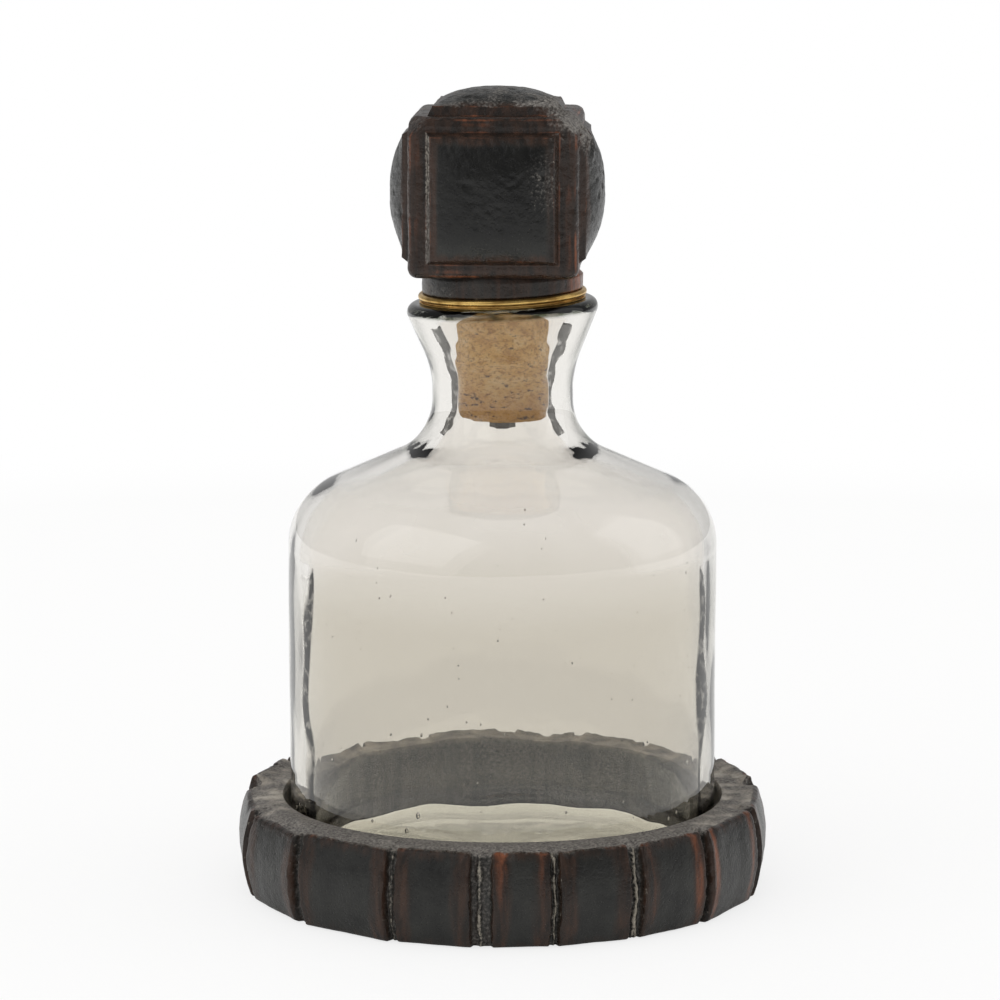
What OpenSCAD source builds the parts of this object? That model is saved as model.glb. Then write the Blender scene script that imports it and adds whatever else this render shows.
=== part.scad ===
// Stoppered glass decanter standing in a cast base ring. Millimetres, +Z up. The bottle
// and the ring stand on z = 0, and the bottle's axis is the Z axis. The front is towards -Y.

/* [Bottle] */
// Outer radius of the straight glass body
body_r = 70.7; // [60:0.1:80]
// Height of the straight body, from the bottle's foot to the shoulder
body_h = 115; // [74:1:154]
// Thickness of the glass wall
wall_t = 5.5; // [3:0.5:8]
// Thickness of the glass base at its edge
base_t = 11; // [8:0.5:16]
// Rounding of the outer heel
heel_r = 12; // [8:0.5:16]
// Rounding inside the bottle, where wall and base meet
inner_heel_r = 6; // [3:0.5:12]
// Radius of the hollow under the foot
punt_r = 46; // [20:1:47]
// Height of the hollow under the foot
punt_h = 0.6; // [0.4:0.1:1.5]
// Rounding of the shoulder
shoulder_r = 22; // [16:0.5:28]
// Slope of the shoulder above the rounding, in degrees
shoulder_slope = 24; // [18:1:32]

/* [Neck] */
// Outer radius of the neck at its waist
neck_r = 23.2; // [21:0.1:26]
// Radius of the sweep from the shoulder into the neck
sweep_r = 19; // [16:0.5:22]
// Height of the straight waist
waist_h = 4; // [1:0.5:12]
// Radius of the curve from the waist into the flare
flare_r = 30; // [20:1:40]
// Lean of the flare from upright, in degrees
flare_lean = 23; // [18:1:26]
// Outer radius of the lip
lip_r = 31.3; // [30.5:0.1:34]
// Rounding of the lip's outer edge
lip_round = 3; // [1.5:0.25:3.5]
// Rounding of the mouth, inside the lip
mouth_round = 1.5; // [0.5:0.25:2]
// Radius of the curve from the bore down into the body
bore_round = 22; // [18:0.5:23]

/* [Cork] */
// Radius of the cork at its top
cork_top_r = 15.5; // [14.8:0.1:16.5]
// Radius of the cork at its foot
cork_foot_r = 14.7; // [13:0.1:14.9]
// Length of the cork below the disc
cork_h = 39; // [34:0.5:42]
// Chamfer round the cork's foot
cork_chamfer = 0.8; // [0.2:0.1:1.5]
// Gap between the cork and the bore's narrowest part, all round
cork_gap = 0.3; // [0.2:0.05:0.5]

/* [Brass disc] */
// Outer radius of the disc
disc_r = 27.6; // [26.9:0.1:28]
// Thickness of the disc
disc_t = 3.1; // [1.5:0.1:4]

/* [Knob] */
// Width and depth of the cube
knob_w = 55; // [50:0.5:64]
// Height of the cube
knob_h = 52; // [48:0.5:60]
// Rounding of the cube's edges
knob_round = 3; // [1:0.25:4]
// Turn of the cube about the bottle's axis, in degrees
knob_turn = 3.3; // [0:0.1:10]
// Width of the raised panel on each face
panel_w = 41; // [34:0.5:43]
// Height of the panel's straight sides
panel_side = 3.3; // [1:0.1:5]
// Rise of the panel's pillow above its sides
panel_dome = 4.4; // [2:0.1:6]
// Radius of the collar under the cube
collar_r = 26.3; // [22:0.1:26.5]
// Height of the collar
collar_h = 6.6; // [4:0.1:14]
// Chamfer on the collar's upper edge
collar_chamfer = 1; // [0.25:0.25:1.5]

/* [Fastening] */
// Radius of the stud
stud_r = 2; // [1.5:0.25:3]
// Length of the stud inside the knob
stud_grip = 18; // [8:1:30]
// Length of the stud below the nut
stud_end = 0.6; // [0.2:0.1:1.5]
// Outer radius of the washer
washer_r = 4.5; // [4.25:0.25:10]
// Thickness of the washer
washer_t = 0.8; // [0.5:0.1:1.5]
// Width of the nut across its flats
nut_w = 7; // [7:0.25:9]
// Height of the nut
nut_h = 2.4; // [1.6:0.1:4]
// Gap between the stud and a threaded hole
thread_gap = 0.05; // [0.02:0.01:0.1]
// Gap between the stud and a plain hole
hole_gap = 0.2; // [0.1:0.05:0.5]

/* [Base ring] */
// Gap between the bottle and the ring, all round
ring_gap = 2.1; // [1:0.1:4]
// Width of the rim between the ring's bore and the grooves
rim_w = 7.7; // [5:0.1:12]
// Height of the rim at the bore
rim_h = 31.5; // [26:0.5:40]
// Height of the tiles
tile_h = 30.5; // [22:0.5:36]
// Depth of the grooves at the tiles' top edge
groove_d = 4; // [2:0.1:8]
// How far a tile bulges beyond its top and bottom edges
tile_bulge = 3; // [1:0.1:5]
// Drop from the tiles' top to the rim's edge in the grooves
groove_drop = 1; // [0.5:0.25:3]

/* [Hidden] */
$fn = 96;
arc_steps = 12;
overlap = 1;

// The casting's pattern was cut by eye: centre angle and width, in degrees, of each tile
// that shows from the front, counted from the front towards +X. The back is regular.
front_tiles = [
    [-84.5, 21], [-61, 20.5], [-36.5, 22.5], [-15, 16.5], [4, 12.5],
    [20, 16], [39.5, 17], [60.5, 21], [84.5, 21]
];
back_from = 98.5;
back_count = 8;
back_pitch = (360 - 2 * back_from) / back_count;
back_width = 17.5;

// Shoulder: an arc, then a straight slope at slope_n's right angle
slope_n = [sin(shoulder_slope), cos(shoulder_slope)];
shoulder_c = [body_r - shoulder_r, body_h];
slope_k = slope_n * shoulder_c + shoulder_r;
inner_k = slope_k - wall_t;

// Sweep from the slope into the waist
sweep_x = neck_r + sweep_r;
sweep_z = (slope_k + sweep_r - slope_n[0] * sweep_x) / slope_n[1];

// Flare from the waist out to the lip, which it meets at a tangent
flare_x = neck_r + flare_r;
flare_z = sweep_z + waist_h;
lip_x = lip_r - lip_round;
lip_z = flare_z + (flare_r + lip_round - cos(flare_lean) * (flare_x - lip_x)) / sin(flare_lean);
lip_top = lip_z + lip_round;

// The bore is narrowest at the waist, where it holds the cork, and flares out with the lip
cork_foot_z = lip_top - cork_h;
function cork_r(z) = cork_foot_r + (cork_top_r - cork_foot_r) * (z - cork_foot_z) / cork_h;
bore_r = cork_r(flare_z) + cork_gap;
bore_flare_r = flare_x - bore_r;
bore_x = bore_r + bore_round;
bore_z = (inner_k + bore_round - slope_n[0] * bore_x) / slope_n[1];
mouth_z = lip_top - mouth_round;
mouth_rise = (mouth_z - flare_z - (bore_flare_r - mouth_round) * sin(flare_lean)) / cos(flare_lean);
mouth_x = flare_x - (bore_flare_r - mouth_round) * cos(flare_lean) + mouth_rise * sin(flare_lean);

// Stopper levels
disc_top = lip_top + disc_t;
knob_z = disc_top + collar_h;
washer_z = cork_foot_z - washer_t;
nut_z = washer_z - nut_h;
panel_rise = panel_side + panel_dome;

// Ring radii
ring_r = body_r + ring_gap;
groove_r = ring_r + rim_w;
tile_edge_r = groove_r + groove_d;
tile_face_r = tile_edge_r + tile_bulge;
bulge_r = (pow(tile_h / 2, 2) + pow(tile_bulge, 2)) / (2 * tile_bulge);

// Points along an arc about centre c, from angle a to angle b
function arc(c, r, a, b, steps = arc_steps) =
    [for (i = [0 : steps]) let (t = a + (b - a) * i / steps) c + r * [cos(t), sin(t)]];

// Radius of the circle whose cap of half width w rises by h
function cap_r(w, h) = (w * w + h * h) / (2 * h);

// Outside of the glass, from the foot up to the top of the lip
function glass_outside() = concat(
    [for (i = [0 : arc_steps]) let (x = punt_r * i / arc_steps, r = cap_r(punt_r, punt_h))
        [x, punt_h - r + sqrt(r * r - x * x)]],
    arc([body_r - heel_r, heel_r], heel_r, -90, 0),
    arc(shoulder_c, shoulder_r, 0, 90 - shoulder_slope),
    arc([sweep_x, sweep_z], sweep_r, 270 - shoulder_slope, 180),
    arc([flare_x, flare_z], flare_r, 180, 180 - flare_lean),
    arc([lip_x, lip_z], lip_round, -flare_lean, 90)
);

// Inside of the glass, from the mouth down to the inner floor
function glass_inside() = concat(
    arc([mouth_x, mouth_z], mouth_round, 90, 180 - flare_lean, 6),
    arc([flare_x, flare_z], bore_flare_r, 180 - flare_lean, 180),
    arc([bore_x, bore_z], bore_round, 180, 270 - shoulder_slope),
    arc(shoulder_c, shoulder_r - wall_t, 90 - shoulder_slope, 0),
    arc([body_r - wall_t - inner_heel_r, base_t + inner_heel_r], inner_heel_r, 0, -90),
    [[0, base_t]]
);

module bottle() {
    color("lightcyan", 0.5)
        rotate_extrude() polygon(concat(glass_outside(), glass_inside()));
}

module stud_hole(z0, z1, gap) {
    translate([0, 0, z0]) cylinder(r = stud_r + gap, h = z1 - z0);
}

module cork() {
    color("burlywood") difference() {
        rotate_extrude() polygon([
            [0, cork_foot_z],
            [cork_foot_r - cork_chamfer, cork_foot_z],
            [cork_r(cork_foot_z + cork_chamfer), cork_foot_z + cork_chamfer],
            [cork_top_r, lip_top],
            [0, lip_top]
        ]);
        stud_hole(cork_foot_z - overlap, lip_top + overlap, hole_gap);
    }
}

// A flat disc whose edge is a half round bead
module brass_disc() {
    color("goldenrod") difference() {
        rotate_extrude() union() {
            translate([0, lip_top]) square([disc_r - disc_t / 2, disc_t]);
            intersection() {
                translate([disc_r - disc_t / 2, lip_top + disc_t / 2]) circle(r = disc_t / 2);
                translate([disc_r - disc_t / 2 - overlap, lip_top]) square([disc_t, disc_t]);
            }
        }
        stud_hole(lip_top - overlap, disc_top + overlap, hole_gap);
    }
}

// A prism with rounded long edges, w by d, centred on the Z axis
module rounded_prism(w, d, h) {
    linear_extrude(h, center = true) union() {
        square([w - 2 * knob_round, d], center = true);
        square([w, d - 2 * knob_round], center = true);
        for (x = [-1, 1], y = [-1, 1])
            translate([x * (w / 2 - knob_round), y * (d / 2 - knob_round)]) circle(r = knob_round);
    }
}

// The cube with every edge rounded
module knob_block() {
    intersection() {
        rounded_prism(knob_w, knob_w, knob_h);
        rotate([90, 0, 0]) rounded_prism(knob_w, knob_h, knob_w + 2);
        rotate([90, 0, 90]) rounded_prism(knob_w, knob_h, knob_w + 2);
    }
}

// A pillow on a square block, standing on z = 0, its pillow made by two crossed vaults
module panel() {
    vault_r = cap_r(panel_w / 2, panel_dome);
    root = knob_round + overlap;
    intersection() {
        translate([-panel_w / 2, -panel_w / 2, -root]) cube([panel_w, panel_w, root + panel_rise]);
        for (turn = [0, 90])
            rotate(turn) translate([0, 0, panel_rise - vault_r]) rotate([90, 0, 0])
                cylinder(r = vault_r, h = 2 * panel_w, center = true, $fn = 180);
    }
}

module knob() {
    color("#3a302c") difference() {
        rotate(-knob_turn) translate([0, 0, knob_z]) {
            translate([0, 0, knob_h / 2]) knob_block();
            translate([0, 0, knob_h]) panel();
            for (turn = [0 : 90 : 270])
                rotate(turn) translate([0, -knob_w / 2, knob_h / 2]) rotate([90, 0, 0]) panel();
            translate([0, 0, -collar_h]) rotate_extrude() polygon([
                [0, 0], [collar_r, 0], [collar_r, collar_h - collar_chamfer],
                [collar_r - collar_chamfer, collar_h], [collar_r - collar_chamfer, collar_h + overlap],
                [0, collar_h + overlap]
            ]);
        }
        stud_hole(disc_top - overlap, disc_top + stud_grip, thread_gap);
    }
}

module stud() {
    z0 = nut_z - stud_end;
    color("silver") translate([0, 0, z0]) cylinder(r = stud_r, h = disc_top + stud_grip - z0);
}

module washer() {
    color("silver") difference() {
        translate([0, 0, washer_z]) cylinder(r = washer_r, h = washer_t);
        stud_hole(washer_z - overlap, washer_z + washer_t + overlap, hole_gap);
    }
}

module nut() {
    color("silver") difference() {
        translate([0, 0, nut_z]) cylinder(r = nut_w / sqrt(3), h = nut_h, $fn = 6);
        stud_hole(nut_z - overlap, nut_z + nut_h + overlap, thread_gap);
    }
}

// One raised tile at the front: flat across, bulged from top to bottom, sides radial
module tile(width) {
    side = tan(width / 2);
    inner = ring_r + rim_w / 2;
    outer = tile_face_r + overlap;
    intersection() {
        linear_extrude(tile_h) polygon([
            [-inner * side, -inner], [-outer * side, -outer],
            [outer * side, -outer], [inner * side, -inner]
        ]);
        translate([0, bulge_r - tile_face_r, tile_h / 2]) rotate([0, 90, 0])
            cylinder(r = bulge_r, h = 3 * outer * side, center = true, $fn = 180);
    }
}

module base_ring() {
    color("#3a302c") union() {
        rotate_extrude() polygon([
            [ring_r, 0], [groove_r, 0], [groove_r, tile_h - groove_drop], [ring_r, rim_h]
        ]);
        for (t = front_tiles) rotate(t[0]) tile(t[1]);
        for (i = [0 : back_count - 1])
            rotate(back_from + (i + 0.5) * back_pitch) tile(back_width);
    }
}

base_ring();
bottle();
cork();
brass_disc();
knob();
stud();
washer();
nut();
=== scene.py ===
import bpy
import bmesh
import random
from math import atan2, cos, degrees, exp, pi, radians, sin, sqrt
from mathutils import Matrix, Vector, noise


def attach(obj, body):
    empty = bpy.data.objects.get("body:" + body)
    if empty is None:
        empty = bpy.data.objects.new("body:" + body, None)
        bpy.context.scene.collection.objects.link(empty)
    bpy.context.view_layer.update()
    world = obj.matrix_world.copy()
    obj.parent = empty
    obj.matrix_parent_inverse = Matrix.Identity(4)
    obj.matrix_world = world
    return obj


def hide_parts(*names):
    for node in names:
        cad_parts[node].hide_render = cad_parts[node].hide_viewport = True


# A stoppered glass decanter in a cast base ring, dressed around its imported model.
# Shapes are in millimetres and are scaled to metres when a mesh is finished.

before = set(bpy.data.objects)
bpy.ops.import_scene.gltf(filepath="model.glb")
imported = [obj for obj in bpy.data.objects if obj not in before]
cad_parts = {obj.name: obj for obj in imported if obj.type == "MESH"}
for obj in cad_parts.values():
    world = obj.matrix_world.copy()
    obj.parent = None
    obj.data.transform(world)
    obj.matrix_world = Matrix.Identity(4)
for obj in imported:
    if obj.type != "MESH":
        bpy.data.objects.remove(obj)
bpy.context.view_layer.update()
mm = 0.001


# Shared helpers

def linear(hexColour):
    # sRGB hex to the linear values that the shaders work in
    parts = [int(hexColour[i:i + 2], 16) / 255 for i in (1, 3, 5)]
    return [c / 12.92 if c <= 0.04045 else ((c + 0.055) / 1.055) ** 2.4 for c in parts] + [1.0]


def clamp(value, low=0.0, high=1.0):
    return max(low, min(high, value))


def ease(low, high, value):
    t = clamp((value - low) / (high - low))
    return t * t * (3 - 2 * t)


def mix(a, b, t):
    return a + (b - a) * t


def grain(x, y, z, size, seed=0.0):
    # smooth noise, about -1 to 1, with lumps about size across
    return noise.noise(Vector((x / size + seed, y / size - seed, z / size + 2 * seed)))


def arcPoints(centre, radius, start, end, count):
    turns = [radians(mix(start, end, i / count)) for i in range(count + 1)]
    return [(centre[0] + radius * cos(t), centre[1] + radius * sin(t)) for t in turns]


def linePoints(a, b, count):
    return [(mix(a[0], b[0], i / count), mix(a[1], b[1], i / count)) for i in range(count + 1)]


def tidyPoints(points):
    # drops a point that lies on the one before it
    kept = [points[0]]
    for p in points[1:]:
        if (p[0] - kept[-1][0]) ** 2 + (p[1] - kept[-1][1]) ** 2 > 1e-6:
            kept.append(p)
    return kept


def spinProfile(bm, points, steps, closed=False):
    # turns a profile of (radius, height) points round the Z axis: a sixteenth, then copies of it
    points = tidyPoints(points)
    verts = [bm.verts.new((0, -r, z)) for r, z in points]
    pairs = list(zip(verts, verts[1:]))
    if closed:
        pairs.append((verts[-1], verts[0]))
    edges = [bm.edges.new(pair) for pair in pairs]
    sector = 2 * pi / 16
    bmesh.ops.spin(bm, geom=verts + edges, cent=(0, 0, 0), axis=(0, 0, 1), angle=sector, steps=steps // 16)
    for copies in (1, 2, 4, 8):
        made = bmesh.ops.duplicate(bm, geom=bm.verts[:] + bm.edges[:] + bm.faces[:])
        turned = [part for part in made["geom"] if isinstance(part, bmesh.types.BMVert)]
        bmesh.ops.rotate(bm, cent=(0, 0, 0), matrix=Matrix.Rotation(copies * sector, 3, "Z"), verts=turned)
    bmesh.ops.remove_doubles(bm, verts=bm.verts, dist=1e-3)
    bmesh.ops.recalc_face_normals(bm, faces=bm.faces)


def addMesh(bm, other):
    # moves all of one bmesh into another
    spare = bpy.data.meshes.new("spare")
    other.to_mesh(spare)
    other.free()
    bm.from_mesh(spare)
    bpy.data.meshes.remove(spare)


def finishPiece(name, bm, material, body, replaced, angle=None):
    bmesh.ops.scale(bm, vec=(mm, mm, mm), verts=bm.verts)
    mesh = bpy.data.meshes.new(name)
    bm.to_mesh(mesh)
    bm.free()
    mesh.polygons.foreach_set("use_smooth", [True] * len(mesh.polygons))
    if angle:
        mesh.set_sharp_from_angle(angle=radians(angle))
    mesh.materials.append(material)
    piece = bpy.data.objects.new(name, mesh)
    bpy.context.scene.collection.objects.link(piece)
    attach(piece, body)
    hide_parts(*replaced)
    print("made", name, len(mesh.polygons), "faces")
    return piece


def newMaterial(name):
    material = bpy.data.materials.new(name)
    material.use_nodes = True
    return material, material.node_tree.nodes["Principled BSDF"]


def addNode(material, kind, inputs, output=0, stops=None, **settings):
    # adds one node, sets or links its inputs, and gives back one output
    tree = material.node_tree
    node = tree.nodes.new("ShaderNode" + kind)
    for name, value in settings.items():
        setattr(node, name, value)
    for name, value in inputs.items():
        if isinstance(value, bpy.types.NodeSocket):
            tree.links.new(value, node.inputs[name])
        else:
            node.inputs[name].default_value = value
    if stops:
        ramp = node.color_ramp
        while len(ramp.elements) < len(stops):
            ramp.elements.new(0.5)
        for element, (place, colour) in zip(ramp.elements, stops):
            element.position = place
            element.color = linear(colour)
    return node.outputs[output]


def linkTo(material, output, socket):
    material.node_tree.links.new(output, socket)


# Camera: a long lens, ten degrees above the table

camera = {"distance": 1419.0, "elevation": 10.0, "targetHeight": 128.8, "aside": -0.8, "lens": 154.8}


def makeCamera():
    tilt = radians(camera["elevation"])
    data = bpy.data.cameras.new("camera")
    data.lens = camera["lens"]
    eye = bpy.data.objects.new("camera", data)
    bpy.context.scene.collection.objects.link(eye)
    height = camera["targetHeight"] + camera["distance"] * sin(tilt)
    eye.location = Vector((camera["aside"], -camera["distance"] * cos(tilt), height)) * mm
    eye.rotation_euler = (pi / 2 - tilt, 0, 0)
    bpy.context.scene.camera = eye


makeCamera()
print("camera set")


# Cast aluminium under a near black patina, brown towards the edges and rubbed to rust red
# along them. It is sand cast: flat tops stay rough and grey, faces are smooth and waxy.

patina = {
    # each noise: lump size in mm, detail, and how far it is drawn out upwards
    "noises": {"blotch": (9.0, 5.0, 1.0), "streak": (2.6, 3.0, 0.1), "grit": (0.9, 4.0, 1.0)},
    "ground": [(0.3, "#151514"), (0.7, "#2b2b28")],
    # each layer: painted attribute, noise that breaks it up, its share, where the edge lies, colours
    "layers": [
        # the first layer is painted shade on the knob's panels, with the lower front left lighter as a painted
        # floor reflection; on the ring it gives each tile a darker middle tone
        ("darkToneAndShade", "blotch", 0.5, 0.3, 1.1, [(0.35, "#0b0b0a"), (0.7, "#161614")]),
        ("margin", "streak", 0.7, 0.45, 1.3, [(0.35, "#1b1511"), (0.7, "#3a281e")]),
        ("rub", "streak", 0.45, 0.45, 1.2, [(0.35, "#43281b"), (0.68, "#7e482c")]),
        # raw and wear also carry painted highlights on the knob's left wall, its pitted patch and the collar's left
        # side
        ("raw", "grit", 0.9, 0.65, 1.3, [(0.35, "#413e3b"), (0.65, "#88837d")]),
        ("pale", "blotch", 0.8, 0.6, 1.2, [(0.35, "#8b8379"), (0.65, "#bdb5a8")]),
        ("wear", "grit", 1.2, 0.95, 1.45, [(0.35, "#7d766b"), (0.65, "#a59e91")]),
    ],
    "pit": 1.7, "roughness": 0.28, "roughMore": 0.35, "gloss": 0.36,
}


def castMaterial():
    m, shader = newMaterial("cast aluminium, sand cast and patinated")
    place = addNode(m, "TexCoord", {}, "Object")
    noises = {}
    for name, (size, detail, drawn) in patina["noises"].items():
        stretched = addNode(m, "Mapping", {"Vector": place, "Scale": (1, 1, drawn)})
        noises[name] = addNode(m, "TexNoise", {"Vector": stretched, "Scale": 1 / (size * mm),
                                               "Detail": detail, "Roughness": 0.6})
    colour = addNode(m, "ValToRGB", {"Fac": noises["blotch"]}, "Color", stops=patina["ground"])
    masks = {}
    for name, breaker, share, low, high, stops in patina["layers"]:
        painted = addNode(m, "Attribute", {}, "Fac", attribute_name=name)
        broken = addNode(m, "Math", {0: noises[breaker], 1: share, 2: painted}, operation="MULTIPLY_ADD")
        masks[name] = addNode(m, "MapRange", {"Value": broken, "From Min": low, "From Max": high},
                              interpolation_type="SMOOTHSTEP")
        tone = addNode(m, "ValToRGB", {"Fac": noises[breaker]}, "Color", stops=stops)
        colour = addNode(m, "Mix", {0: masks[name], 6: colour, 7: tone}, 2, data_type="RGBA")
    linkTo(m, colour, shader.inputs["Base Color"])
    grey = addNode(m, "Math", {0: masks["raw"], 1: masks["pale"]}, operation="MAXIMUM")
    base = addNode(m, "Math", {0: noises["grit"], 1: 0.25, 2: patina["roughness"] - 0.1},
                   operation="MULTIPLY_ADD")
    rough = addNode(m, "Math", {0: grey, 1: patina["roughMore"], 2: base}, operation="MULTIPLY_ADD")
    linkTo(m, rough, shader.inputs["Roughness"])
    bare = addNode(m, "Math", {0: masks["wear"], 1: 0.4}, operation="MULTIPLY")
    linkTo(m, bare, shader.inputs["Metallic"])
    shader.inputs["Specular IOR Level"].default_value = patina["gloss"]
    pits = addNode(m, "TexVoronoi", {"Vector": place, "Scale": 1 / (patina["pit"] * mm)}, "Distance")
    dents = addNode(m, "MapRange", {"Value": pits, "From Min": 0.05, "From Max": 0.3},
                    interpolation_type="SMOOTHSTEP")
    relief = addNode(m, "Math", {0: dents, 1: 0.35, 2: noises["grit"]}, operation="MULTIPLY_ADD")
    strength = addNode(m, "Math", {0: grey, 1: 0.35, 2: 0.5}, operation="MULTIPLY_ADD")
    bump = addNode(m, "Bump", {"Height": relief, "Strength": strength, "Distance": 0.4 * mm})
    linkTo(m, bump, shader.inputs["Normal"])
    return m


castMetal = castMaterial()


def paintLayers(bm):
    # the attributes that the cast material reads, one layer each
    return {layer[0]: bm.verts.layers.float.new(layer[0]) for layer in patina["layers"]}


# Base ring: a bore, a rough rim and a row of raised tiles cut apart by narrow grooves

ring = {
    "bore": 72.8, "groove": 80.5, "grooveFloor": 83.2, "edge": 84.5, "bulge": 3.0,
    "tileHeight": 30.5, "rimHeight": 30.9, "rimWarp": 0.6, "rimBack": 0.1, "cornerRound": 1.0,
    # middle and width in degrees from the front towards +X, lift of its top, rust on its two
    # sides, then the ragged flash left in the groove after it: place across it and strength
    "frontTiles": [
        (-84.5, 21.0, -1.2, (0.2, 0.4), (0.9, 0.5)), (-61.0, 20.5, -1.7, (0.3, 0.4), (0.85, 0.8)),
        (-36.5, 22.5, -0.2, (0.3, 0.2), (0.35, 0.6)), (-15.0, 16.5, 0.4, (0.3, 0.3), (0.4, 0.8)),
        (4.0, 12.5, 0.5, (1.0, 0.5), (0.45, 0.9)), (20.0, 16.0, 0.5, (0.3, 0.6), (0.5, 1.0)),
        (39.5, 17.0, 0.2, (0.4, 1.0), (0.2, 0.8)), (60.5, 21.0, 0.0, (0.8, 1.0), (0.2, 0.7)),
        (84.5, 21.0, 0.0, (0.9, 0.4), (0.5, 0.5)),
    ],
    "backFrom": 98.5, "backCount": 8, "backWidth": 17.5,
    "tileSteps": 36, "grooveSteps": 12,
    "faceRows": 36, "topRows": 20, "boreRows": 12, "footRows": 6,
}


def ringTiles():
    tiles = list(ring["frontTiles"])
    pitch = (360 - 2 * ring["backFrom"]) / ring["backCount"]
    dice = random.Random(5)
    for i in range(ring["backCount"]):
        middle = ring["backFrom"] + (i + 0.5) * pitch
        rust = (dice.uniform(0.2, 1), dice.uniform(0.2, 1))
        flash = (dice.uniform(0.2, 0.8), dice.uniform(0.4, 1))
        tiles.append((middle, ring["backWidth"], dice.uniform(1.0, 1.5), rust, flash))
    return tiles


def ringStations(tiles):
    # every angle at which the ring is cut: its tile, how far it lies inside the tile's nearer
    # side in mm, which side that is, how far the groove's flash lies from it and how strong it is
    stations = []
    for k, (middle, width, lift, rust, flash) in enumerate(tiles):
        after = (k + 1) % len(tiles)
        start = middle - width / 2
        end = middle + width / 2
        nextStart = tiles[after][0] - tiles[after][1] / 2 + (360 if after == 0 else 0)
        tileLength = radians(width) * ring["edge"]
        grooveLength = radians(nextStart - end) * ring["edge"]
        for i in range(ring["tileSteps"]):
            even = i / ring["tileSteps"]
            share = mix(even, 0.5 - 0.5 * cos(pi * even), 0.6)  # closer together at the sides
            inside = min(share, 1 - share) * tileLength
            stations.append((mix(start, end, share), k, inside, 0 if share < 0.5 else 1, 0.0, 0.0))
        for i in range(ring["grooveSteps"]):
            share = i / ring["grooveSteps"]
            nearest = k if share < 0.5 else after
            stations.append((mix(end, nextStart, share), nearest, -min(share, 1 - share) * grooveLength,
                             1 if share < 0.5 else 0, (share - flash[0]) * grooveLength, flash[1]))
    return stations


def rimLevel(angle):
    turn = radians(angle)
    return ring["rimHeight"] + ring["rimWarp"] * cos(2 * turn) - ring["rimBack"] * cos(turn)


def ringPoint(station, tiles, across, up):
    # across runs from the bore to the outside and up from the foot to the top, both 0 to 1;
    # gives the place and what the paint layers need
    angle, k, inside, side, offset, strength = station
    middle, width, lift, rust, flash = tiles[k]
    sx = sin(radians(angle))
    sy = -cos(radians(angle))
    x = ring["edge"] * sx
    y = ring["edge"] * sy
    z = up * ring["tileHeight"]
    fromTop = ring["tileHeight"] - z
    ragged = 0.55 * grain(x, y, z, 3.4, 3.1) + 0.25 * grain(x, y, z, 1.2, 7.7)
    onTile = ease(-0.5, 0.5, inside + ragged)
    wander = 0.9 * grain(40.0 * k, 0, z, 7.0, 2.1) + 0.4 * grain(x, y, z, 2.2, 8.6)
    ridge = strength * exp(-((offset + wander) / 0.6) ** 2)
    bulge = ring["bulge"] * (1 - (2 * up - 1) ** 2)
    flat = (ring["edge"] + bulge) / cos(radians(angle - middle))
    flute = 0.3 * grain(angle * 0.9, 40.0 * k, z * 0.1, 4.0, 1.3)
    hand = 0.35 * grain(x, y, z, 14.0, 5.5) + 0.12 * grain(x, y, z, 2.2, 9.1)
    chip = max(0.0, grain(x, y, z * 0.4, 5.0, 2.2) - 0.25)
    nick = 2.0 * chip * ease(4.0, 0.0, fromTop)
    corner = ring["cornerRound"]
    tuck = 0.0
    for gap in (fromTop, z):
        near = clamp(1 - gap / corner)
        tuck += corner * (1 - sqrt(1 - near ** 2))
    broken = clamp(0.75 + 1.3 * grain(x, y, z, 3.0, 11.3) + 0.5 * grain(x, y, z, 0.9, 4.3), 0.0, 1.3)
    tileRadius = flat + flute + hand - tuck - nick
    floorRadius = ring["grooveFloor"] + 0.65 * bulge + 0.35 * grain(x, y, z, 2.4, 6.4) - tuck
    outer = mix(floorRadius, tileRadius, onTile) + 1.6 * ridge * mix(0.75, 1.0, broken) * (1 - onTile)
    radius = mix(ring["bore"], outer, across)
    rim = rimLevel(angle)
    tileTop = ring["tileHeight"] + lift - nick
    drop = mix(0.3, 1.3, ease(-0.6, 0.2, cos(radians(angle))))
    grooveTop = rim - drop * ease(ring["bore"] + 4, ring["grooveFloor"], radius)
    top = mix(grooveTop, mix(rim, tileTop, ease(ring["groove"] - 3, ring["edge"], radius)), onTile)
    top += (0.3 * grain(radius * sx, radius * sy, 0, 4.4, 4.2)
            + 0.2 * grain(radius * sx, radius * sy, 0, 1.5, 8.8)) * ease(0.0, 0.12, across)
    if across < 0.001:
        radius += 0.4 * ease(0.9, 1.0, up)
    return Vector((radius * sx, radius * sy, up * top)), onTile, fromTop, chip, broken, ridge


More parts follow.
